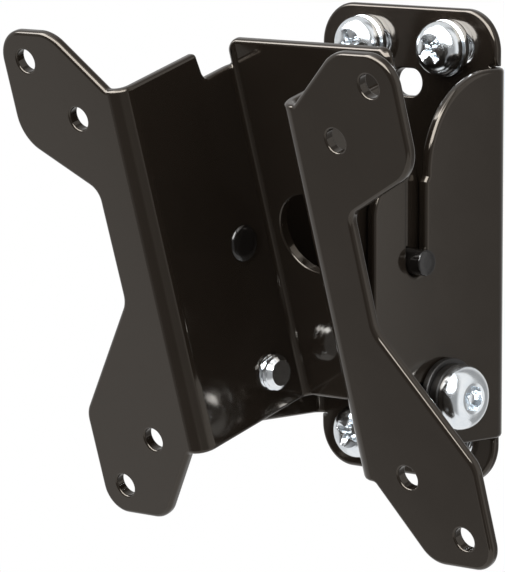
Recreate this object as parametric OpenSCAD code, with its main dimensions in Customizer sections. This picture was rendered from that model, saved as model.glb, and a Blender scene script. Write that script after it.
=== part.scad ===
// Small tilting wall mount for a flat-panel screen.
// A folded wall plate carries two side flanges with open-topped hook slots.
// A hat-shaped screen bracket hangs in those slots by two pins, and two
// button-head bolts lower down clamp it at the chosen tilt.
// Frame: x across the wall, y into the wall (the wall face is y = 0),
// z up. The origin is the centre of the wall plate's back face.

/* [Tilt] */
// Forward lean of the screen bracket, in degrees
tilt = 17.2; // [0:0.1:20]
// Largest lean that the clamp slots allow, in degrees
tilt_max = 20; // [18:1:20]

/* [Sheet] */
// Thickness of the steel sheet of both brackets
sheet = 2.5; // [2.2:0.1:2.6]
// Inside radius of every fold
fold_r = 1.7; // [1.2:0.1:1.8]

/* [Wall plate] */
// Width of the plate's upper and lower ears
ear_w = 50.8; // [48:0.2:52]
// Overall height of the wall plate
plate_h = 102.8; // [100:0.2:106]
// Corner radius of the ears
ear_r = 9; // [6:0.5:11]
// Width over the two side flanges
flange_w = 56; // [55.8:0.1:56.4]
// Reach of the flanges from the wall face
flange_reach = 43.2; // [42:0.2:44]
// Distance between the wall screws across the plate
screw_dx = 24; // [22:0.5:24]
// Distance between the upper and the lower wall screws
screw_dz = 85.6; // [84.8:0.2:86.4]
// Length of the slots under the wall screws
screw_slot_l = 14.4; // [13:0.2:15]
// Length of the small centre slot between the flanges
centre_slot_l = 8.4; // [7:0.2:9]

/* [Screen bracket] */
// Width inside the channel
channel_w = 45.2; // [44.8:0.1:45.4]
// Depth of the channel from the screen face to its floor
channel_d = 34; // [33:0.2:35]
// Length of the opening through the channel floor
floor_slot_l = 38.6; // [36:0.2:40]
// Height of that opening
floor_slot_w = 18; // [16:0.5:20]
// Width over the two wings
wing_w = 114.6; // [112:0.2:117]
// Outer hole spacing of the screen pattern
screen_pitch_big = 100; // [100:1:100]
// Inner hole spacing of the screen pattern
screen_pitch_small = 75; // [75:1:75]
// Diameter of the eight screen holes
screen_hole_d = 5.2; // [5:0.1:5.6]

/* [Pivot and clamp] */
// Diameter of the two pivot pins
pin_d = 5.54; // [5.4:0.02:5.6]
// Width of the hook slots that the pins drop into
hook_slot_w = 5.7; // [5.7:0.05:5.9]
// Distance of the pins behind the screen face
pin_depth = 25.4; // [25:0.1:25.8]
// Distance from the pins down to the clamp bolts
bolt_drop = 30.5; // [30:0.1:31]
// Thread size of the clamp bolts
bolt_d = 8; // [8:0.1:8]
// Length of the clamp bolts under the head
bolt_l = 12; // [11:0.5:12]

/* [Wall screws] */
// Thread size of the four wall screws
screw_d = 6; // [5:0.1:6]
// Plain neck of the shank between the head and the thread
screw_neck_d = 5.4; // [5.2:0.1:5.8]
// Length of the wall screws under the head
screw_l = 12; // [9:0.5:14]
// Diameter of the wall screws' heads
screw_head_d = 11.8; // [11:0.1:12]
// Height of those heads
screw_head_h = 4.6; // [4.2:0.1:4.8]
// Diameter of the washers under those heads
wall_washer_d = 12.4; // [12.2:0.1:13]

/* [Hidden] */

fold_o = fold_r + sheet;
pivot_y = -30.1;
half_plate = plate_h / 2;
half_flange = flange_w / 2;
half_channel = channel_w / 2;
half_wing = wing_w / 2;
channel_x = half_channel + sheet;
fold_x = half_channel + fold_o;
// Ends of the flanges, and of the folds that join them to the plate
flange_top = 39.3;
flange_bottom = -40.4;
// Ends of the screen bracket's channel
channel_top = 44.5;
channel_bottom = -39.6;
// Parts on the clamp bolt, from the flange outwards
stack_gap = 0.3;
lock_washer_t = 1.6;
spring_washer_t = 2;
head_x = half_flange + stack_gap + lock_washer_t + spring_washer_t;
wall_washer_t = 1.6;

// Small shared shapes

// Points along a rounded corner at b between a and c, of radius r
function unit(v) = v / norm(v);
function corner(a, b, c, r, n = 8) =
    let (u = unit(a - b), w = unit(c - b),
        half = acos(u * w) / 2,
        mid = b + unit(u + w) * r / sin(half),
        s = mid + unit(u * (r / tan(half)) + b - mid) * r,
        e = mid + unit(w * (r / tan(half)) + b - mid) * r,
        a0 = atan2(s[1] - mid[1], s[0] - mid[0]),
        a1 = atan2(e[1] - mid[1], e[0] - mid[0]),
        turn = a1 - a0 > 180 ? a1 - a0 - 360
            : a1 - a0 < -180 ? a1 - a0 + 360 : a1 - a0)
    [for (i = [0:n]) mid + r * [cos(a0 + turn * i / n), sin(a0 + turn * i / n)]];

// Outline from a list of [x, y, radius] corners
function rounded(p) = let (n = len(p)) [
    for (i = [0:n - 1])
        let (a = p[(i + n - 1) % n], b = p[i], c = p[(i + 1) % n])
        each b[2] == 0 ? [[b[0], b[1]]]
            : corner([a[0], a[1]], [b[0], b[1]], [c[0], c[1]], b[2])];

// Quarter ring of sheet at a fold, filling the quadrant sx, sy from its centre
module fold(x, y, sx, sy) {
    intersection() {
        translate([x, y]) difference() {
            circle(r = fold_o, $fn = 64);
            circle(r = fold_r, $fn = 64);
        }
        translate([sx > 0 ? x : x - fold_o, sy > 0 ? y : y - fold_o])
            square(fold_o);
    }
}

// Rectangle given by two opposite corners
module box2(a, b) {
    translate([min(a[0], b[0]), min(a[1], b[1])])
        square([abs(b[0] - a[0]), abs(b[1] - a[1])]);
}

module both_sides() {
    children();
    mirror([1, 0, 0]) children();
}

// Turns a shape drawn in x, z into a solid between y0 and y1
module plate_xz(y0, y1) {
    translate([0, y1, 0]) rotate([90, 0, 0])
        linear_extrude(height = y1 - y0) children();
}

// Turns a shape drawn in y, z into a solid between x0 and x1
module plate_yz(x0, x1) {
    translate([x0, 0, 0]) rotate([90, 0, 90])
        linear_extrude(height = x1 - x0) children();
}

// Curved slot of width w about the origin, measured from +z towards +x
module curved_slot(r, w, a0, a1) {
    intersection() {
        difference() {
            circle(r = r + w / 2, $fn = 180);
            circle(r = r - w / 2, $fn = 180);
        }
        polygon([[0, 0], 2 * r * [sin(a0), cos(a0)],
            2 * r * [sin(a1), cos(a1)]]);
    }
    for (a = [a0, a1])
        translate(r * [sin(a), cos(a)]) circle(d = w, $fn = 48);
}

// Straight slot of overall length l and width w along x
module straight_slot(l, w) {
    square([l - w, w], center = true);
    for (s = [-1, 1])
        translate([s * (l - w) / 2, 0]) circle(d = w, $fn = 48);
}

// Places a shape drawn in the screen bracket's own frame, whose origin is
// the centre of the screen pattern on the face that meets the screen
module on_screen() {
    translate([0, pivot_y, 0]) rotate([tilt, 0, 0])
        translate([0, -pin_depth, 0]) children();
}

// Wall bracket: one folded sheet

// Section through the right flange: a strip of the plate, the fold and the
// flange, which flange_side trims to length
module flange_section() {
    fold_start = half_flange - fold_o;
    box2([fold_start - 1, 0], [fold_start, -sheet]);
    fold(fold_start, -fold_o, 1, 1);
    box2([half_flange, -fold_o], [half_flange - sheet, -flange_reach - 1]);
}

// Side view of a flange, drawn in y, z
module flange_side() {
    arm_top = 18.2;
    mouth = 17.8;
    step = 1.2;
    round_y = -5;
    slot_front = pivot_y - hook_slot_w / 2;
    slot_back = pivot_y + hook_slot_w / 2;
    difference() {
        union() {
            // Front arm, lower body and the slanted front corner
            polygon(rounded([[slot_front, 0, 0], [slot_front, arm_top, 2],
                [-flange_reach, arm_top, 8], [-flange_reach, -16, 5],
                [-37, flange_bottom, 6], [1, flange_bottom, 0],
                [1, 0, 0]]));
            box2([slot_back, -1], [1, mouth - step]);
            // Small chamfer where the slot meets the quarter round
            polygon([[slot_back, mouth - 2 * step], [slot_back, mouth - step],
                [slot_back + 0.85, mouth + 0.2], [-20, mouth + 0.2],
                [-20, mouth - 2 * step]]);
            // Quarter round behind the slot
            intersection() {
                translate([round_y, mouth])
                    circle(r = flange_top - mouth, $fn = 180);
                box2([-flange_reach, mouth - step - 0.3], [round_y, flange_top]);
            }
            box2([round_y, -1], [1, flange_top]);
        }
        // Hook slot that the pivot pin drops into
        box2([slot_front, 0], [slot_back, half_plate]);
        translate([pivot_y, 0]) circle(d = hook_slot_w, $fn = 64);
        // Clamp slot, an arc about the pin
        translate([pivot_y, 0])
            curved_slot(bolt_drop, bolt_d + 0.8, 180 - tilt_max - 0.6, 180.6);
    }
}

// Front view of the flat plate, drawn in x, z
module plate_front() {
    difference() {
        polygon(rounded([[-ear_w / 2, -half_plate, ear_r],
            [ear_w / 2, -half_plate, ear_r],
            [ear_w / 2, half_plate, ear_r],
            [-ear_w / 2, half_plate, ear_r]]));
        // The folds start inside the ears' width and are lanced from the ears
        both_sides()
            box2([half_flange - fold_o, flange_bottom],
                [half_flange, flange_top]);
        for (side = [-1, 1], top = [-1, 1])
            translate([side * screw_dx / 2, top * screw_dz / 2])
                straight_slot(screw_slot_l, screw_d + 0.4);
        translate([0, 34.8]) straight_slot(centre_slot_l, 6);
    }
}

module wall_bracket() {
    color("#2b2723") union() {
        plate_xz(-sheet, 0) plate_front();
        both_sides() intersection() {
            translate([0, 0, -half_plate])
                linear_extrude(height = plate_h) flange_section();
            plate_yz(20, half_flange + 1) flange_side();
        }
    }
}

// Screen bracket: one folded sheet

// Section of the channel with its four folds
module channel_section() {
    box2([-half_channel + fold_r, channel_d],
        [half_channel - fold_r, channel_d + sheet]);
    both_sides() {
        fold(half_channel - fold_r, channel_d - fold_r, 1, 1);
        box2([half_channel, fold_o], [channel_x, channel_d - fold_r]);
        fold(fold_x, fold_o, -1, -1);
    }
}

// Front view of the right wing, drawn in x, z
module wing_front() {
    polygon(rounded([[fold_x, channel_top, 0], [41.2, 56.8, 9],
        [half_wing, 56.8, 7], [half_wing, 31.7, 9],
        [36.9, 20.9, 4], [36.7, -5, 6],
        [half_wing, -33, 6], [half_wing, -57, 6],
        [39.2, -57, 7], [fold_x, channel_bottom, 0]]));
}

module screen_bracket() {
    tab = 23.2;
    color("#45403a") on_screen() difference() {
        union() {
            translate([0, 0, channel_bottom])
                linear_extrude(height = channel_top - channel_bottom)
                    channel_section();
            both_sides() plate_xz(0, sheet) wing_front();
        }
        // The folds at the top of the channel floor are cut away
        both_sides() plate_yz(tab, channel_x + 1)
            polygon([[23.7, 60], [23.9, channel_top], [24.7, 39],
                [25.5, 38.3], [60, 38.3], [60, 60]]);
        plate_xz(channel_d - 6, channel_d + 6) difference() {
            box2([-tab - 1, 40.3], [tab + 1, 60]);
            polygon(rounded([[-tab, 30, 0], [tab, 30, 0],
                [tab, 44, 3], [-tab, 44, 3]]));
        }
        // Opening through the channel floor
        translate([0, 0, -0.3]) plate_xz(channel_d - 1, channel_d + 4)
            straight_slot(floor_slot_l, floor_slot_w);
        // Screen holes
        for (pitch = [screen_pitch_big, screen_pitch_small],
                x = [-1, 1], z = [-1, 1])
            translate([x * pitch / 2, 0, z * pitch / 2])
                rotate([90, 0, 0])
                    cylinder(d = screen_hole_d, h = 12, center = true,
                        $fn = 48);
        // Holes for the pivot pins and threads for the clamp bolts
        for (x = [-1, 1]) {
            translate([x * half_channel, pin_depth, 0])
                rotate([0, 90, 0])
                    cylinder(d = pin_d, h = 12, center = true, $fn = 48);
            translate([x * half_channel, pin_depth, -bolt_drop])
                rotate([0, 90, 0])
                    cylinder(d = bolt_d, h = 12, center = true, $fn = 48);
        }
    }
}

// Pivot pins, riveted into the channel's sides

// Pin along x, head inside the channel, for the right side
module pivot_pin() {
    reach = half_flange + 3.1 - half_channel;
    color("#332e29") on_screen()
        translate([half_channel, pin_depth, 0]) rotate([0, 90, 0])
            rotate_extrude($fn = 48)
                polygon([[0, -1], [2.6, -1], [3.4, -0.75], [3.9, -0.35],
                    [4, 0], [pin_d / 2, 0], [pin_d / 2, reach - 0.45],
                    [pin_d / 2 - 0.16, reach - 0.13],
                    [pin_d / 2 - 0.5, reach], [0, reach]]);
}

module pivot_pin_left() {
    mirror([1, 0, 0]) pivot_pin();
}

module pivot_pin_right() {
    pivot_pin();
}

// Clamp bolts with their washers

// Places a shape drawn along +z with its origin on the bolt's axis at x
module on_bolt(x) {
    on_screen() translate([x, pin_depth, -bolt_drop])
        rotate([0, 90, 0]) children();
}

// Domed head with a pin-in-hexagon recess, on a threaded shank
module lock_bolt() {
    head_r = 7;
    head_h = 4.4;
    color("#c9ced4") on_bolt(head_x) difference() {
        rotate_extrude($fn = 64)
            polygon([[0, head_h], [0, -bolt_l], [2.9, -bolt_l],
                [bolt_d / 2, -bolt_l + 1.1], [bolt_d / 2, 0],
                [head_r - 0.3, 0], [head_r, 0.35], [head_r, 0.8],
                [6.8, 1.6], [6.4, 2.4], [5.8, 3.1], [5, 3.7],
                [4, 4.15], [3.4, head_h]]);
        translate([0, 0, head_h - 2.6]) difference() {
            cylinder(d = 5 / cos(30), h = 6, $fn = 6);
            translate([0, 0, -1]) cylinder(d = 2.2, h = 3, $fn = 24);
        }
    }
}

module lock_bolt_left() {
    mirror([1, 0, 0]) lock_bolt();
}

module lock_bolt_right() {
    lock_bolt();
}

// Plain washer along +z
module washer(outer_d, inner_d, t) {
    difference() {
        cylinder(d = outer_d, h = t, $fn = 64);
        translate([0, 0, -1]) cylinder(d = inner_d, h = t + 2, $fn = 64);
    }
}

module lock_washer() {
    color("#26221f") on_bolt(half_flange + stack_gap)
        washer(16, bolt_d + 0.4, lock_washer_t);
}

module lock_washer_left() {
    mirror([1, 0, 0]) lock_washer();
}

module lock_washer_right() {
    lock_washer();
}

// Split ring that keeps the bolt tight
module spring_washer() {
    color("#1f1c1a") on_bolt(head_x - spring_washer_t) difference() {
        washer(14, bolt_d + 0.3, spring_washer_t);
        rotate([0, 0, 215]) translate([3, -0.7, -1])
            cube([6, 1.4, spring_washer_t + 2]);
    }
}

module spring_washer_left() {
    mirror([1, 0, 0]) spring_washer();
}

module spring_washer_right() {
    spring_washer();
}

// Wall screws with their washers

// Places a shape drawn along +z (out from the wall) at one screw
module on_wall(side, top) {
    translate([side * screw_dx / 2, -sheet, top * screw_dz / 2])
        rotate([90, 0, 0]) children();
}

// Domed head with a cross recess. The shank keeps the blank's smaller
// diameter through the washer and the plate, and is threaded behind them
module wall_screw(side, top, turn) {
    base = wall_washer_t;
    rim = screw_head_d / 2;
    top_z = base + screw_head_h;
    color("#cfd4da") on_wall(side, top) difference() {
        rotate_extrude($fn = 64)
            polygon([[0, top_z], [0, base - screw_l],
                [screw_d / 2 - 0.7, base - screw_l],
                [screw_d / 2, base - screw_l + 0.9],
                [screw_d / 2, -sheet - 0.02],
                [screw_neck_d / 2, -sheet + 0.02],
                [screw_neck_d / 2, base], [rim - 0.3, base],
                [rim, base + 0.3], [rim, top_z - 3.4],
                [rim - 0.35, top_z - 2.5], [rim - 1.1, top_z - 1.6],
                [rim - 2.2, top_z - 0.85], [rim - 3.6, top_z - 0.3],
                [rim - 4.8, top_z - 0.06]]);
        rotate([0, 0, turn]) for (a = [0, 90])
            rotate([0, 0, a]) translate([-3.1, -0.6, top_z - 2.2])
                cube([6.2, 1.2, 4]);
    }
}

module wall_screw_top_left() {
    wall_screw(-1, 1, 20);
}

module wall_screw_top_right() {
    wall_screw(1, 1, 38);
}

module wall_screw_bottom_left() {
    wall_screw(-1, -1, 65);
}

module wall_screw_bottom_right() {
    wall_screw(1, -1, 10);
}

module wall_washer(side, top) {
    color("#c4cad1") on_wall(side, top)
        washer(wall_washer_d, screw_d + 0.4, wall_washer_t);
}

module wall_washer_top_left() {
    wall_washer(-1, 1);
}

module wall_washer_top_right() {
    wall_washer(1, 1);
}

module wall_washer_bottom_left() {
    wall_washer(-1, -1);
}

module wall_washer_bottom_right() {
    wall_washer(1, -1);
}

wall_bracket();
screen_bracket();
pivot_pin_left();
pivot_pin_right();
lock_bolt_left();
lock_bolt_right();
lock_washer_left();
lock_washer_right();
spring_washer_left();
spring_washer_right();
wall_screw_top_left();
wall_screw_top_right();
wall_screw_bottom_left();
wall_screw_bottom_right();
wall_washer_top_left();
wall_washer_top_right();
wall_washer_bottom_left();
wall_washer_bottom_right();
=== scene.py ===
import bmesh
import bpy
import numpy as np
from mathutils.geometry import delaunay_2d_cdt
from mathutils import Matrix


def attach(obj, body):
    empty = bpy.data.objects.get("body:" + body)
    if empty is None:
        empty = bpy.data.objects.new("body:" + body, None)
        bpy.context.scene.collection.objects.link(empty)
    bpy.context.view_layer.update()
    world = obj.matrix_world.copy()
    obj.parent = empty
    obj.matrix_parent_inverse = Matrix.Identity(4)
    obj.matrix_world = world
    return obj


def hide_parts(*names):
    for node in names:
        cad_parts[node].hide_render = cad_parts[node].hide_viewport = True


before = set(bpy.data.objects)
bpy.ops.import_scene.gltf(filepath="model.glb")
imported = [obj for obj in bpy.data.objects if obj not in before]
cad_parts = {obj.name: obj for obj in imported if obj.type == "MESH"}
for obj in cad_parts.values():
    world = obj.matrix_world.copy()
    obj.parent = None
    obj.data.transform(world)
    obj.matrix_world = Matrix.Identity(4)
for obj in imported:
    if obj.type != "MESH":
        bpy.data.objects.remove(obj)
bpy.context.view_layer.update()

# Wall bracket
# One folded piece of 2.5 mm sheet steel, screwed to the wall by two ears, with
# a hook slot for the pin and an arc slot for the clamp bolt in each flange. It
# is powder coated and baked to a black gloss with faint orange peel and waves.

sheet = 2.5
fold_inside = 1.7
fold_middle = fold_inside + sheet / 2
fold_length = fold_middle * np.pi / 2
fold_strips = 6
arc_step = 0.45  # about the longest side of a rounded corner
outline_rounding = 0.95  # radius of the edge round a sheet
hole_rounding = 0.45  # radius of the edge round its holes
lance = 0.12  # width of the cut that frees an ear from a flange
lance_end = 23.4  # x where that cut ends
lance_pinch = 1.6  # the edge's rounding fades this near to the cut's end
half_ear = 25.4
ear_end = 51.4
flange_outside = 28.0
plate_flat = flange_outside - fold_inside - sheet
flange_top = 39.3
flange_bottom = -40.4
pin_back = 30.1
bolt_drop = 30.5
screw_x = 12.0
screw_z = 42.8
screw_slot_length, screw_slot_width = 14.4, 6.4
middle_hole_z, middle_hole_length, middle_hole_width = 34.8, 8.4, 6
clamp_slot_width = 8.8
clamp_slot_first, clamp_slot_last = np.radians(-0.6), np.radians(20.6)


def rounded_outline(corners):
    """Closed outline round corners (u, z, r). An arc of radius r touches both sides of its
    corner: its centre is on the bisector, r / sin(half the corner's angle) away."""
    corners = np.array(corners, float)
    stretches = []
    for before, corner, after in zip(np.roll(corners, 1, 0), corners, np.roll(corners, -1, 0)):
        place, radius = corner[:2], corner[2]
        if radius == 0:
            stretches.append(place[None])
            continue
        back = (before[:2] - place) / np.linalg.norm(before[:2] - place)
        ahead = (after[:2] - place) / np.linalg.norm(after[:2] - place)
        half = np.arccos(np.clip(back @ ahead, -1, 1)) / 2
        bisector = (back + ahead) / np.linalg.norm(back + ahead)
        centre = place + bisector * radius / np.sin(half)
        start = place + back * radius / np.tan(half) - centre
        end = place + ahead * radius / np.tan(half) - centre
        first = np.arctan2(start[1], start[0])
        sweep = (np.arctan2(end[1], end[0]) - first + np.pi) % (2 * np.pi) - np.pi
        steps = 5 + int(abs(sweep) * radius / arc_step)
        turn = first + sweep * np.linspace(0, 1, steps)
        stretches.append(centre + radius * np.stack([np.cos(turn), np.sin(turn)], 1))
    return np.concatenate(stretches)


def circle(u, z, radius):
    """Points round a circle, with even angles."""
    turn = np.linspace(0, 2 * np.pi, 64, endpoint=False)
    return np.array([u, z]) + radius * np.stack([np.cos(turn), np.sin(turn)], 1)


def slot(u, z, length, width):
    """A slot along u: a rectangle whose short ends are half circles."""
    long, short, end = length / 2, width / 2, width / 2 - 0.001
    return rounded_outline([(u - long, z - short, end), (u + long, z - short, end),
                            (u + long, z + short, end), (u - long, z + short, end)])


def arc_slot(u, z, radius, width, first, last):
    """A slot bent about (u, z), from angle first to last, counted from straight down:
    an outer arc, a half circle, an inner arc and another half circle."""
    ends = np.linspace(0, np.pi, 13)[1:-1]
    along = np.linspace(first, last, 25)
    outer = [radius + width / 2 + along * 0, along]
    inner = [radius - width / 2 + along * 0, along[::-1]]

    def spot(distance, turn):
        return np.stack([u - distance * np.sin(turn), z - distance * np.cos(turn)], 1)

    def cap(turn, start):
        middle = spot(np.array([radius]), np.array([turn]))
        round_end = turn + start + ends
        return middle - width / 2 * np.stack([np.sin(round_end), np.cos(round_end)], 1)

    return np.concatenate([spot(*outer), cap(last, 0), spot(*inner), cap(first, np.pi)])


def mirrored(corners):
    """The corners, then the same ones at -u in reverse, as one outline."""
    return corners + [(-u, z, radius) for u, z, radius in corners[::-1]]


def area(loop):
    """Signed area, half the sum of the cross products of neighbouring points."""
    ahead = np.roll(loop, -1, 0)
    return np.sum(loop[:, 0] * ahead[:, 1] - loop[:, 1] * ahead[:, 0]) / 2


def inside(points, loops):
    """True where a line from a point towards +u crosses the loops an odd number of times."""
    crossings = np.zeros(len(points), int)
    for loop in loops:
        ahead = np.roll(loop, -1, 0)
        low, high = loop[None], ahead[None]
        u, z = points[:, None, 0], points[:, None, 1]
        spans = (low[..., 1] > z) != (high[..., 1] > z)
        rise = np.where(spans, high[..., 1] - low[..., 1], 1)
        meeting = low[..., 0] + (z - low[..., 1]) / rise * (high[..., 0] - low[..., 0])
        crossings += np.sum(spans & (meeting > u), 1)
    return crossings % 2 == 1


def split_at_folds(loop, folds, fold_ends):
    """Adds a point wherever a side of the loop crosses a line u = constant of a fold,
    between the heights where the folds end, and says which points were added."""
    stretches, added = [], []
    for start, end in zip(loop, np.roll(loop, -1, 0)):
        run = end[0] - start[0]
        share = (folds - start[0]) / run if abs(run) > 1e-6 else folds * 0
        share = np.sort(share[(share > 1e-4) & (share < 1 - 1e-4)])
        level = start[1] + share * (end[1] - start[1])
        share = share[(level > fold_ends[0] - 0.01) & (level < fold_ends[1] + 0.01)]
        stretches += [start[None], start + share[:, None] * (end - start)]
        added += [False] + [True] * len(share)
    return np.concatenate(stretches), np.array(added)


def new_piece(name, points, faces, material, normals=None):
    """A mesh object from points in millimetres, its faces turned outwards. Where no normals
    are given it is shaded smooth up to creases of 35 degrees."""
    mesh = bpy.data.meshes.new(name)
    mesh.from_pydata((points * 0.001).tolist(), [], faces)
    shell = bmesh.new()
    shell.from_mesh(mesh)
    bmesh.ops.recalc_face_normals(shell, faces=shell.faces)
    shell.to_mesh(mesh)
    shell.free()
    mesh.materials.append(material)
    mesh.shade_smooth()
    if normals is None:
        mesh.set_sharp_from_angle(angle=np.radians(35))
    else:
        mesh.normals_split_custom_set_from_vertices(normals.tolist())
    made = bpy.data.objects.new(name, mesh)
    bpy.context.collection.objects.link(made)
    return made


def folded_sheet(outline, holes, folds, carry, fold_ends=(-99, 99), lances=()):
    """A sheet with rounded edges, worked out flat and then folded.

    Each loop is swept by the edge's profile, wider on the outline than on the holes: at
    angle a it lies edge * (1 - sin a) inside the loop and edge * (1 - cos a) below the
    face. Points on a fold move inwards along it, unless the loop runs nearly along it too,
    and the folds reach only between the two heights fold_ends. Near a point of lances, the
    inner end of a cut, the profile shrinks to a twentieth, because the rounding would
    cross itself there.

    The flat faces are triangulated between the innermost loops. carry(u, z) gives the
    place, direction and normal of the folded sheet's middle, from which each point stands
    off by its height."""
    loops = [outline if area(outline) > 0 else outline[::-1]]
    loops += [hole if area(hole) < 0 else hole[::-1] for hole in holes]
    turn = np.linspace(0, np.pi / 2, 7)
    outward = np.concatenate([np.sin(turn), np.sin(turn[::-1])])
    upward = np.concatenate([np.cos(turn), -np.cos(turn[::-1])])
    upward[len(turn) - 1] = 1e-9
    rows = len(outward)

    flat, lean, quads, front, back, rims = [], [], [], [], [], []
    base = 0
    for loop in loops:
        edge = hole_rounding if base else outline_rounding
        depth = edge * (1 - outward)
        height = np.sign(upward) * (sheet / 2 - edge * (1 - np.abs(upward)))
        loop, added = split_at_folds(loop, folds, fold_ends)
        count = len(loop)
        ahead = np.roll(loop, -1, 0) - loop
        ahead /= np.linalg.norm(ahead, axis=1)[:, None]
        left = np.stack([-ahead[:, 1], ahead[:, 0]], 1)
        before = np.roll(left, 1, 0)
        inward = (left + before) / (1 + np.sum(left * before, 1))[:, None]
        away = -inward / np.linalg.norm(inward, axis=1)[:, None]
        along_fold = added & (np.abs(left[:, 1]) > 0.3)
        inward[along_fold] = [0, 1] / left[along_fold, 1:]
        for cut_end in lances:
            away_from_cut = np.linalg.norm(loop - cut_end, axis=1) / lance_pinch
            inward *= np.clip(away_from_cut, 0.05, 1)[:, None]
        spread = loop[None] + inward[None] * depth[:, None, None]
        heights = np.broadcast_to(height[:, None, None], (rows, count, 1))
        flat.append(np.dstack([spread, heights]).reshape(-1, 3))
        tilt = np.dstack([away[None] * outward[:, None, None],
                          np.broadcast_to(upward[:, None, None], (rows, count, 1))])
        lean.append(tilt.reshape(-1, 3))
        index = base + np.arange(rows * count).reshape(rows, count)
        after = np.roll(index, -1, 1)
        corners_of_quad = [index[:-1], index[1:], after[1:], after[:-1]]
        quads.append(np.stack(corners_of_quad, -1).reshape(-1, 4))
        front.append(index[0])
        back.append(index[-1])
        rims.append(spread[0])
        base += rows * count

    corners = np.concatenate(rims)
    starts = np.cumsum([0] + [len(rim) for rim in rims[:-1]])
    sides = []
    for rim, start in zip(rims, starts):
        step = np.arange(len(rim))
        sides.append(np.stack([step, (step + 1) % len(rim)], 1) + start)
    for line in folds:
        on_line = np.flatnonzero(np.abs(corners[:, 0] - line) < 1e-4)
        on_line = on_line[np.argsort(corners[on_line, 1])]
        pairs = np.stack([on_line[:-1], on_line[1:]], 1)
        middles = (corners[pairs[:, 0]] + corners[pairs[:, 1]]) / 2
        sides.append(pairs[inside(middles, rims)])
    filled = delaunay_2d_cdt(corners.tolist(), np.concatenate(sides).tolist(), [], 0, 1e-6)
    met = np.array([tuple(spot) for spot in filled[0]])
    nearest = np.argmin(np.linalg.norm(met[:, None] - corners[None], axis=2), 1)
    triangles = nearest[np.array(filled[2])]
    in_order = np.sort(triangles, 1)
    triangles = triangles[np.all(np.diff(in_order, axis=1) > 0, 1)]
    triangles = triangles[inside(corners[triangles].mean(1), rims)]

    flat, lean = np.concatenate(flat), np.concatenate(lean)
    place, along, across = carry(flat[:, 0], flat[:, 1])
    points = np.stack([place[0] + across[0] * flat[:, 2],
                       place[1] + across[1] * flat[:, 2], flat[:, 1]], 1)
    normals = np.stack([lean[:, 0] * along[0] + lean[:, 2] * across[0],
                        lean[:, 0] * along[1] + lean[:, 2] * across[1], lean[:, 1]], 1)
    faces = np.concatenate(quads).tolist()
    faces += np.concatenate(front)[triangles].tolist()
    faces += np.concatenate(back)[triangles[:, ::-1]].tolist()
    return points, normals, faces


def fold_lines(*starts):
    """The lines u = constant that cut each fold into strips, on both halves."""
    lines = np.linspace(0, fold_length, fold_strips + 1)
    right = np.concatenate([start + lines for start in starts])
    return np.concatenate([-right[::-1], right])


def wall_fold(u, z):
    """Section of the wall bracket: flat to |u| = plate_flat, a quarter turn towards the
    room, then the flange. The ears above and below the flanges stay flat at any u."""
    side, far = np.sign(u), np.abs(u)
    ear = (z > flange_top + lance / 2) | (z < flange_bottom - lance / 2)
    turn = np.where(ear, 0, np.clip((far - plate_flat) / fold_middle, 0, np.pi / 2))
    past = np.where(ear, 0, np.clip(far - plate_flat - fold_length, 0, None))
    level = np.where(ear, far, np.minimum(far, plate_flat))
    x = side * (level + fold_middle * np.sin(turn))
    y = -sheet / 2 - fold_middle * (1 - np.cos(turn)) - past
    return (x, y), (np.cos(turn), -side * np.sin(turn)), (side * np.sin(turn), np.cos(turn))


def on_flange(y):
    """Distance u along the unfolded sheet of a place on the flange at depth y."""
    return plate_flat + fold_length - (y + fold_inside + sheet)


pin_u = on_flange(-pin_back)
half_hook = 2.85
hook_round = half_hook - 0.001
reach = on_flange(-43.2)
rounded_top = on_flange(-5) + 21.5
front_top = 18.2
wall_outline = rounded_outline(mirrored([
    (half_ear, ear_end, 9), (half_ear, flange_top + lance, 0),
    (lance_end, flange_top + lance, 0), (lance_end, flange_top, 0),
    (rounded_top, flange_top, 21.2), (rounded_top, 17.8, 0.6),
    (pin_u - half_hook, 16.6, 0.6), (pin_u - half_hook, -half_hook, hook_round),
    (pin_u + half_hook, -half_hook, hook_round), (pin_u + half_hook, front_top, 2),
    (reach, front_top, 8), (reach, -16, 5), (on_flange(-37), flange_bottom, 6),
    (lance_end, flange_bottom, 0), (lance_end, flange_bottom - lance, 0),
    (half_ear, flange_bottom - lance, 0), (half_ear, -ear_end, 9),
]))
wall_holes = [slot(0, middle_hole_z, middle_hole_length, middle_hole_width)]
for side in (-1, 1):
    for top in (-1, 1):
        wall_holes.append(slot(side * screw_x, top * screw_z,
                               screw_slot_length, screw_slot_width))
    clamp = arc_slot(pin_u, 0, bolt_drop, clamp_slot_width,
                     clamp_slot_first, clamp_slot_last)
    wall_holes.append(clamp * [side, 1])
lances = [(side * lance_end, level)
          for side in (-1, 1) for level in (flange_top, flange_bottom)]
wall_points, wall_normals, wall_faces = folded_sheet(
    wall_outline, wall_holes, fold_lines(plate_flat), wall_fold,
    (flange_bottom, flange_top), lances)


class Field:
    """A shader value that adds Math nodes when it is used in an expression."""

    def __init__(self, finish, socket):
        self.finish = finish
        self.socket = socket

    def maths(self, operation, first, second):
        settings = {"operation": operation}
        return self.finish.node("Math", settings, {0: first, 1: second})["Value"]

    def __add__(self, other):
        return self.maths("ADD", self, other)

    def __sub__(self, other):
        return self.maths("SUBTRACT", self, other)

    def __rsub__(self, other):
        return self.maths("SUBTRACT", other, self)

    def __mul__(self, other):
        return self.maths("MULTIPLY", self, other)

    def __truediv__(self, other):
        return self.maths("DIVIDE", self, other)

    def __pow__(self, other):
        return self.maths("POWER", self, other)

    __radd__ = __add__
    __rmul__ = __mul__

    def between(self, low, high):
        """0 below low, 1 above high, and a smooth step from one to the other."""
        sockets = {"Value": self, "From Min": low, "From Max": high}
        settings = {"interpolation_type": "SMOOTHSTEP"}
        return self.finish.node("MapRange", settings, sockets)["Result"]


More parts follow.
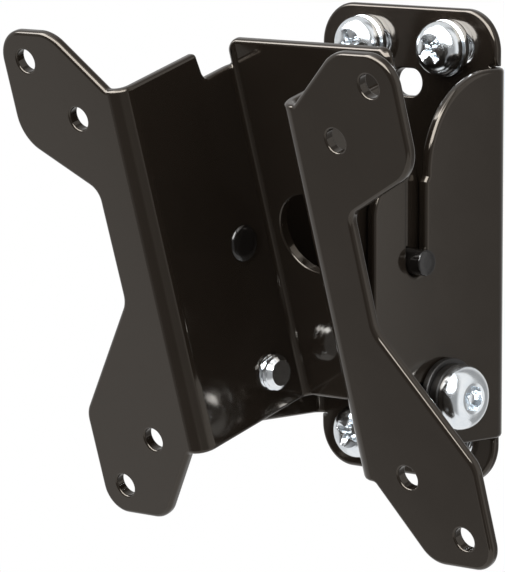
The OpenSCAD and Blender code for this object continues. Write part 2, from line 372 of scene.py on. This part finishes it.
class Finish:
    """A node tree being filled in; node() makes a node and gives its outputs as Fields."""

    def __init__(self, tree):
        self.tree = tree
        self.tree.nodes.clear()

    def node(self, kind, settings=None, sockets=None):
        made = self.tree.nodes.new("ShaderNode" + kind)
        for key, value in (settings or {}).items():
            setattr(made, key, value)
        for key, value in (sockets or {}).items():
            if isinstance(value, Field):
                self.tree.links.new(value.socket, made.inputs[key])
            else:
                made.inputs[key].default_value = value
        return {output.name: Field(self, output) for output in made.outputs}

    def noise(self, grain_mm, detail=2.0, roughness=0.5):
        """Noise whose grain is about grain_mm across, on the piece's Object coordinates."""
        sockets = {"Vector": self.node("TexCoord")["Object"], "Scale": 1000 / grain_mm,
                   "Detail": detail, "Roughness": roughness}
        return self.node("TexNoise", {}, sockets)["Fac"]

    def blend(self, factor, first, second):
        """The colour that lies at factor between two colours."""
        sockets = {0: factor, 6: (*first, 1), 7: (*second, 1)}
        made = self.tree.nodes.new("ShaderNodeMix")
        made.data_type = "RGBA"
        for key, value in sockets.items():
            if isinstance(value, Field):
                self.tree.links.new(value.socket, made.inputs[key])
            else:
                made.inputs[key].default_value = value
        return Field(self, made.outputs[2])

    def bumped(self, height):
        """The normal of a surface whose relief is height, in metres."""
        sockets = {"Strength": 1.0, "Distance": 1.0, "Height": height}
        return self.node("Bump", {}, sockets)["Normal"]

    def surface(self, sockets):
        shader = self.node("BsdfPrincipled", {}, sockets)["BSDF"]
        self.node("OutputMaterial", {}, {"Surface": shader})


def new_finish(name):
    material = bpy.data.materials.new(name)
    material.use_nodes = True
    return material, Finish(material.node_tree)


def powder_coat():
    """Near-black gloss film; its relief is up to 1.2 um of orange peel and 18 um of waves."""
    material, finish = new_finish("black_powder_coat")
    peel = finish.noise(1.1, 1.0)
    waves = finish.noise(26, 0.0)
    cloud = finish.noise(9, 3.0)
    marks = finish.noise(2.6, 5.0, 0.72).between(0.6, 0.74)
    flecks = finish.noise(0.35, 1.0).between(0.76, 0.82)
    normal = finish.bumped(peel * 0.0000012 + waves * 0.000018)
    dark, light = (0.0165, 0.0123, 0.0091), (0.023, 0.0177, 0.0135)
    finish.surface({
        "Base Color": finish.blend(cloud * 0.6 + flecks * 0.3, dark, light),
        "Roughness": 0.065 + cloud * 0.03 + marks * 0.06 + flecks * 0.1,
        "IOR": 1.5,
        "Specular Tint": (1.0, 0.9, 0.78, 1),
        "Normal": normal,
    })
    return material


coat = powder_coat()
wall_bracket = new_piece("wall_bracket_sheet", wall_points, wall_faces, coat, wall_normals)
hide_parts("wall_bracket")
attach(wall_bracket, "wall_side")

# Screen bracket
# A second piece of the same coated sheet, folded four times into a channel
# with a wing on each side, and one wide opening in the channel's floor. The
# wings carry the two square screw patterns of a screen's back.

lean_angle = np.radians(17.2)
pin_depth = 25.4
channel_outside = 22.6
channel_deep = 34
channel_flat = channel_outside - fold_inside
channel_back = channel_deep + sheet / 2
side_length = channel_deep - 2 * fold_inside - sheet
half_wing = 57.3
wing_end = 27.4  # x where the wings' slanting ends meet the channel
wing_bottom = -57
screen_hole_radius = 2.6
pin_hole_radius = 2.75
bolt_hole_radius = 3.9
floor_slot_z, floor_slot_length, floor_slot_width = -0.3, 38.6, 18
tab = 23.64
tab_notch = 38.3


def screen_fold(u, z):
    """Section of the screen bracket from the middle out: floor, quarter turn, side wall,
    quarter turn back, wing. The direction has turned by the first angle less the second."""
    side, far = np.sign(u), np.abs(u)
    first = np.clip((far - channel_flat) / fold_middle, 0, np.pi / 2)
    wall = np.clip(far - channel_flat - fold_length, 0, side_length)
    beyond = far - channel_flat - fold_length - side_length
    second = np.clip(beyond / fold_middle, 0, np.pi / 2)
    wing = np.clip(beyond - fold_length, 0, None)
    bends = fold_middle * (np.sin(first) + 1 - np.cos(second))
    x = side * (np.minimum(far, channel_flat) + bends + wing)
    y = channel_back - fold_middle * (1 - np.cos(first) + np.sin(second)) - wall
    turn = first - second
    return (x, y), (np.cos(turn), -side * np.sin(turn)), (side * np.sin(turn), np.cos(turn))


def leaned(points):
    """Turns points of the screen bracket's own frame about the pins into the mount's."""
    back, up = points[:, 1] - pin_depth, points[:, 2]
    return np.stack([points[:, 0],
                     -pin_back + back * np.cos(lean_angle) - up * np.sin(lean_angle),
                     back * np.sin(lean_angle) + up * np.cos(lean_angle)], 1)


def on_side(depth):
    """Distance u along the unfolded sheet of a place on the side wall at a depth behind
    the screen."""
    return channel_flat + fold_length + channel_deep - fold_inside - depth


wing_start = channel_flat + 2 * fold_length + side_length


def on_wing(x):
    """Distance u along the unfolded sheet of a place on the wing at x."""
    return wing_start + x - channel_flat - 2 * fold_middle


screen_outline = rounded_outline(mirrored([
    (tab, 44, 3), (tab, tab_notch, 0.5), (on_side(25.3), tab_notch, 0.9),
    (on_side(24.6), 39.6, 1.5), (on_side(23.9), 44.5, 0.9), (on_wing(wing_end), 44.5, 1.2),
    (on_wing(41.2), 56.8, 9), (on_wing(half_wing), 56.8, 7), (on_wing(half_wing), 31.7, 9),
    (on_wing(36.9), 20.9, 4), (on_wing(36.7), -5, 6), (on_wing(half_wing), -33, 6),
    (on_wing(half_wing), wing_bottom, 6), (on_wing(39.2), wing_bottom, 7),
    (on_wing(wing_end), -39.9, 1.2),
]))
screen_holes = [slot(0, floor_slot_z, floor_slot_length, floor_slot_width)]
for side in (-1, 1):
    for pitch in (75, 100):
        for top in (-1, 1):
            screen_holes.append(circle(side * on_wing(pitch / 2), top * pitch / 2,
                                       screen_hole_radius))
    screen_holes.append(circle(side * on_side(pin_depth), 0, pin_hole_radius))
    screen_holes.append(circle(side * on_side(pin_depth), -bolt_drop, bolt_hole_radius))
screen_folds = fold_lines(channel_flat, channel_flat + fold_length + side_length)
screen_points, screen_normals, screen_faces = folded_sheet(
    screen_outline, screen_holes, screen_folds, screen_fold)
turned_normals = leaned(screen_normals) - leaned(np.zeros((1, 3)))
screen_bracket = new_piece("screen_bracket_sheet", leaned(screen_points), screen_faces,
                           coat, turned_normals)
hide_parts("screen_bracket")
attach(screen_bracket, "tilt_head")

# Pivot pins
# Two short steel pins, riveted into the channel's side walls. The inner end is
# peened to a low dome and the outer end stands in the wall bracket's hook
# slot. They are blackened with the bracket and rub to a duller sheen.


def black_steel(name, dullness):
    """Blackened steel: a satin skin with fine turning grain and rubbed spots."""
    material, finish = new_finish(name)
    grain = finish.noise(0.22, 4.0, 0.65)
    rubs = finish.noise(1.7, 3.0).between(0.55, 0.75)
    normal = finish.bumped(grain * 0.000004)
    finish.surface({
        "Base Color": finish.blend(rubs * 0.7, (0.011, 0.0095, 0.0085), (0.024, 0.021, 0.019)),
        "Roughness": dullness + grain * 0.12 + rubs * 0.06,
        "IOR": 1.5,
        "Normal": normal,
    })
    return material


def lathe(radius, along):
    """Surface of revolution: a radius for each height along and each angle, closed at both
    ends by a fan to a point on the axis."""
    turns = radius.shape[1]
    angle = np.linspace(0, 2 * np.pi, turns, endpoint=False)
    heights = np.broadcast_to(along[:, None], radius.shape)
    skin = np.dstack([radius * np.cos(angle), radius * np.sin(angle), heights]).reshape(-1, 3)
    poles = np.array([[0, 0, along[0]], [0, 0, along[-1]]])
    index = np.arange(radius.size).reshape(radius.shape)
    after = np.roll(index, -1, 1)
    faces = np.stack([index[:-1], after[:-1], after[1:], index[1:]], -1).reshape(-1, 4).tolist()
    first, last = radius.size, radius.size + 1
    faces += np.stack([np.full(turns, first), after[0], index[0]], 1).tolist()
    faces += np.stack([np.full(turns, last), index[-1], after[-1]], 1).tolist()
    return np.concatenate([skin, poles]), faces


def across_the_mount(points, side, drop):
    """Lays a turned piece's axis along x at the pin's depth, drop below the pins."""
    return leaned(np.stack([side * points[:, 2], pin_depth + points[:, 0],
                            points[:, 1] - drop], 1))


satin_black = black_steel("blackened_pin", 0.1)
pin_radius = 2.77
pin_turns = 64
pin_profile = np.array([
    (1.6, 21.68), (2.6, 21.74), (3.3, 21.92), (3.8, 22.2), (3.98, 22.45), (3.9, 22.62),
    (pin_radius, 22.7), (pin_radius, 30.6), (pin_radius - 0.05, 30.8),
    (pin_radius - 0.17, 30.97), (pin_radius - 0.35, 31.07), (pin_radius - 0.55, 31.1),
    (1.0, 31.1),
])
for side, word in ((-1, "left"), (1, "right")):
    pin_rows = np.repeat(pin_profile[:, :1], pin_turns, 1)
    pin_points, pin_faces = lathe(pin_rows, pin_profile[:, 1])
    pin = new_piece("riveted_pin_" + word, across_the_mount(pin_points, side, 0),
                    pin_faces, satin_black)
    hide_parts("pivot_pin_" + word)
    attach(pin, "tilt_head")

# Clamp bolts
# M8 button-head bolts, bright zinc plated, threaded straight into the
# channel's side walls through the arc slots. The hexagon recess has a pin in
# its middle, so that a plain key doesn't turn it.


def bright_zinc():
    """Zinc plate over turned steel: blue-white metal, slightly cloudy, finely grained."""
    material, finish = new_finish("bright_zinc")
    cloud = finish.noise(1.4, 4.0, 0.6)
    grain = finish.noise(0.09, 2.0)
    worn = finish.noise(3.5, 5.0, 0.7).between(0.58, 0.74)
    normal = finish.bumped(grain * 0.0000011)
    finish.surface({
        "Base Color": finish.blend(cloud, (0.70, 0.755, 0.81), (0.90, 0.915, 0.92)),
        "Metallic": 1.0,
        "Roughness": 0.13 + cloud * 0.1 + worn * 0.09,
        "Normal": normal,
    })
    return material


zinc = bright_zinc()
turns = np.linspace(0, 2 * np.pi, 120, endpoint=False)


def thread(crest, pitch, start, end, chamfer):
    """Rows of a thread's radius. The groove winds round once per pitch: it is deepest where
    height / pitch less angle / one turn is a whole number, and its flanks are straight."""
    along = np.linspace(start, end, int((end - start) / pitch * 12))
    phase = (along[:, None] / pitch - turns[None] / (2 * np.pi)) % 1
    groove = np.clip(np.abs(2 * phase - 1) * 1.3 - 0.2, 0, 1)
    radius = crest - 0.56 * pitch * groove
    return np.minimum(radius, crest - chamfer + (along - start)[:, None]), along


def hexagon(apothem):
    """Distance from the middle to a hexagon's side at each angle: apothem / cos of the
    angle to the side's normal."""
    return apothem / np.cos((turns + np.pi / 6) % (np.pi / 3) - np.pi / 6)


bolt_seat = 31.9
bolt_length = 12.0
shank, shank_along = thread(4.0, 1.25, -bolt_length, -1.2, 1.15)
sweep = np.linspace(0, np.pi / 2, 17)
dome = np.stack([3.45 + 3.53 * np.cos(sweep), 0.75 + 3.63 * np.sin(sweep)], 1)
under = np.array([(3.95, -0.9), (3.98, -0.02), (6.7, 0.0), (6.88, 0.08), (6.98, 0.28)])
rim = np.array([(3.2, 4.4), (3.08, 4.33)])
post = np.array([(1.22, 1.82), (1.12, 1.95), (1.1, 3.6), (1.0, 3.75), (0.7, 3.82)])


def round_rows(profile):
    """A profile's rows with the same radius at every angle."""
    return np.repeat(profile[:, :1], len(turns), 1)


hex_rows = np.stack([hexagon(2.56), hexagon(2.5), hexagon(2.47), hexagon(2.4)])
hex_along = [4.26, 4.1, 1.95, 1.82]
bolt_radius = np.concatenate([shank, round_rows(under), round_rows(dome),
                              round_rows(rim), hex_rows, round_rows(post)])
bolt_along = np.concatenate([shank_along, under[:, 1], dome[:, 1],
                             rim[:, 1], hex_along, post[:, 1]])
for side, word in ((-1, "left"), (1, "right")):
    bolt_points, bolt_faces = lathe(bolt_radius, bolt_along + bolt_seat)
    bolt = new_piece("clamp_bolt_" + word, across_the_mount(bolt_points, side, bolt_drop),
                     bolt_faces, zinc)
    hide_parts("lock_bolt_" + word)
    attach(bolt, "tilt_head")

# Washers of the clamp bolts
# Each bolt has a blackened flat washer that bears on the flange round the arc
# slot, and a split spring washer between that and the head, which keeps the
# bolt tight while the screen is nudged.


def ring(inner, outer, low, high, edge, gap=0.0):
    """A rectangle with rounded corners swept round the axis, the whole way or short of it
    by a gap in radians, whose two ends are then closed."""
    section = rounded_outline([(inner, low, edge), (outer, low, edge),
                               (outer, high, edge), (inner, high, edge)])
    around = 96
    angle = gap / 2 + np.linspace(0, 2 * np.pi - gap, around, endpoint=gap > 0)
    points = np.stack([np.cos(angle)[:, None] * section[:, 0],
                       np.sin(angle)[:, None] * section[:, 0],
                       np.broadcast_to(section[:, 1], (around, len(section)))], -1)
    points = points.reshape(-1, 3)
    index = np.arange(around * len(section)).reshape(around, len(section))
    if gap == 0:
        index = np.vstack([index, index[:1]])
    after = np.roll(index, -1, 1)
    faces = np.stack([index[:-1], index[1:], after[1:], after[:-1]], -1).reshape(-1, 4).tolist()
    if gap > 0:
        faces += [index[0].tolist(), index[-1][::-1].tolist()]
    return points, faces


dark_washer = black_steel("blackened_washer", 0.3)
flat_start, flat_end = 28.3, 29.9
for side, word in ((-1, "left"), (1, "right")):
    flat_points, flat_faces = ring(4.2, 8.0, flat_start, flat_end, 0.3)
    flat_washer = new_piece("flat_washer_" + word,
                            across_the_mount(flat_points, side, bolt_drop),
                            flat_faces, dark_washer)
    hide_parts("lock_washer_" + word)
    split_points, split_faces = ring(4.15, 7.0, flat_end, bolt_seat, 0.25, 0.2)
    split_washer = new_piece("split_washer_" + word,
                             across_the_mount(split_points, side, bolt_drop),
                             split_faces, dark_washer)
    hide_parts("spring_washer_" + word)
    for washer in (flat_washer, split_washer):
        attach(washer, "tilt_head")

# Wall screws and their washers
# Four M6 screws with domed heads and a cross recess fix the plate to the
# wall's anchors, each over a plain washer that covers its slot. Both are zinc
# plated like the clamp bolts.


def on_wall(points, x, z):
    """Stands a turned piece's axis out from the plate's front face at (x, z)."""
    return np.stack([x + points[:, 0], -sheet - points[:, 2], z + points[:, 1]], 1)


def cross(length, width, angle):
    """Distance from the middle to a cross's edge at each angle: the farther of its two
    arms, each the nearer of its end and its side, and never less than a round middle."""
    across = np.abs(np.cos(turns - angle)) + 1e-6
    up = np.abs(np.sin(turns - angle)) + 1e-6
    arms = np.maximum(np.minimum(length / across, width / up),
                      np.minimum(length / up, width / across))
    return np.maximum(arms, width * 1.75)


washer_thick = 1.6
screw_high = washer_thick + 4.6
screw_turns = {(-1, 1): 20, (1, 1): 38, (-1, -1): 65, (1, -1): 10}
tail, tail_along = thread(3.0, 1.0, washer_thick - 12, -sheet - 0.1, 0.7)
seat = np.array([(2.72, -sheet + 0.3), (2.72, washer_thick - 0.02), (5.6, washer_thick),
                 (5.8, washer_thick + 0.1), (5.9, washer_thick + 0.3),
                 (5.9, washer_thick + 0.9)])
crown = np.stack([1.9 + 4.0 * np.cos(sweep) ** 0.9,
                  washer_thick + 1.1 + 3.5 * np.sin(sweep)], 1)
crown = np.vstack([crown[crown[:, 0] > 3.45], [(3.38, screw_high - 0.16)]])
for (side, top), degrees in screw_turns.items():
    angle = np.radians(degrees)
    recess = np.stack([cross(3.25, 0.8, angle), cross(3.1, 0.66, angle),
                       cross(2.3, 0.5, angle), cross(1.2, 0.4, angle)])
    recess_along = screw_high - np.array([0.2, 0.45, 1.7, 2.2])
    screw_radius = np.concatenate([tail, round_rows(seat), round_rows(crown), recess])
    screw_along = np.concatenate([tail_along, seat[:, 1], crown[:, 1], recess_along])
    word = ("top_" if top > 0 else "bottom_") + ("right" if side > 0 else "left")
    screw_points, screw_faces = lathe(screw_radius, screw_along)
    screw = new_piece("cross_screw_" + word,
                      on_wall(screw_points, side * screw_x, top * screw_z),
                      screw_faces, zinc)
    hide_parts("wall_screw_" + word)
    plain_points, plain_faces = ring(3.2, 6.2, 0, washer_thick, 0.22)
    plain = new_piece("plate_washer_" + word,
                      on_wall(plain_points, side * screw_x, top * screw_z),
                      plain_faces, zinc)
    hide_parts("wall_washer_" + word)
    for part in (screw, plain):
        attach(part, "wall_side")

# Studio
# A pale floor, and a surround that is white to the camera, even for matt faces
# and, for mirrors, a dim room with brighter sides and a softbox high in front.
# One soft lamp hangs overhead, and the camera stands as for the photograph.

floor_level = -1.9
floor_half = 2
floor_corners = [(x * floor_half, y * floor_half, floor_level)
                 for x, y in ((-1, -1), (1, -1), (1, 1), (-1, 1))]
floor_mesh = bpy.data.meshes.new("studio_floor")
floor_mesh.from_pydata(floor_corners, [], [(0, 1, 2, 3)])
floor = bpy.data.objects.new("studio_floor", floor_mesh)
bpy.context.collection.objects.link(floor)
floor_material, floor_finish = new_finish("pale_floor")
floor_rays = floor_finish.node("LightPath")
seen = (floor_rays["Is Camera Ray"] + floor_rays["Is Glossy Ray"]
        + floor_rays["Is Transmission Ray"])
matt = floor_finish.node("BsdfDiffuse", {}, {"Color": (0.88, 0.88, 0.88, 1)})["BSDF"]
white = (1, 1, 1, 1)
bright = floor_finish.node("Emission", {}, {"Color": white, "Strength": 1.0})["Emission"]
shown = floor_finish.node("MixShader", {}, {0: seen * 0.85, 1: matt, 2: bright})["Shader"]
floor_finish.node("OutputMaterial", {}, {"Surface": shown})
floor_mesh.materials.append(floor_material)

world = bpy.data.worlds.new("white_surround")
bpy.context.scene.world = world
world.use_nodes = True
air = Finish(world.node_tree)
direction = air.node("TexCoord")["Generated"]
parts = air.node("SeparateXYZ", {}, {0: direction})
level = (parts["X"] * parts["X"] + parts["Y"] * parts["Y"] + 0.0001) ** 0.5
forwards = 0 - parts["Y"] / level
sideways = parts["X"] / level
on_left = (0 - sideways).between(-0.2, 0.2) * (1 - forwards.between(0.585, 0.615))
on_right = sideways.between(0.666, 0.678) * (0 - forwards).between(-0.2, 0.2)
in_height = parts["Z"].between(0.34, 0.4) * (1 - parts["Z"].between(0.82, 0.9))
softbox_glow = in_height * forwards.between(0.3, 0.6) * 14
dark_front = forwards.between(0.7, 0.9) * 0.2
room = 0.36 + on_left * 0.4 + on_right * 0.62 - dark_front + softbox_glow
rays = air.node("LightPath")
mirrored_ray = rays["Is Glossy Ray"] + rays["Is Transmission Ray"]
camera_ray = rays["Is Camera Ray"]
seen_room = mirrored_ray * room + (1 - mirrored_ray) * 0.8
strength = camera_ray + (1 - camera_ray) * seen_room
backdrop = air.node("Background", {}, {"Color": white, "Strength": strength})["Background"]
air.node("OutputWorld", {}, {"Surface": backdrop})

lamp = bpy.data.lights.new("overhead_softbox", "AREA")
lamp.shape = "RECTANGLE"
lamp.size, lamp.size_y = 1.1, 0.7
lamp.energy = 5.5
softbox = bpy.data.objects.new("overhead_softbox", lamp)
softbox.location = (-0.1, -0.4, 0.95)
softbox.rotation_euler = (np.radians(22), 0, np.radians(-14))
bpy.context.collection.objects.link(softbox)

lens = bpy.data.cameras.new("camera")
lens.sensor_fit = "HORIZONTAL"
lens.sensor_width = 36
lens.lens = 337.5
lens.clip_end = 20
camera = bpy.data.objects.new("camera", lens)
camera.location = (0.69008, -0.76311, 0.11471)
camera.rotation_euler = (np.radians(90 - 6.92), 0, np.radians(44.09))
bpy.context.collection.objects.link(camera)
bpy.context.scene.camera = camera
bpy.context.scene.view_settings.view_transform = "Standard"
